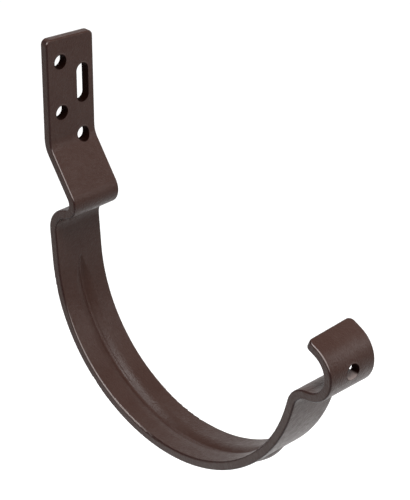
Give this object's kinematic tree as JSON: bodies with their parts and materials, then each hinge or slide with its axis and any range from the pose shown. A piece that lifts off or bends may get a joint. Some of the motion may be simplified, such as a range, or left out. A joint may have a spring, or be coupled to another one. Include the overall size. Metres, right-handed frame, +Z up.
{
  "type": "gutter bracket",
  "caption": "Fascia bracket for a half-round gutter: one bent steel strap with a holed plate, a fold for the back edge, a ribbed round seat and a hook for the front bead.",
  "frame": {"origin": "middle of the fascia plate's back face, halfway down its flat length and across the strap", "axes": "+X away from the fascia board towards the gutter's front, +Y along the gutter, +Z up"},
  "size_m": [0.1654, 0.025, 0.168],
  "materials": {
    "coated_steel": "dark brown baked powder coat, satin, fine grain"
  },
  "bodies": {
    "root": {"bracket": "coated_steel"}
  },
  "joints": []
}
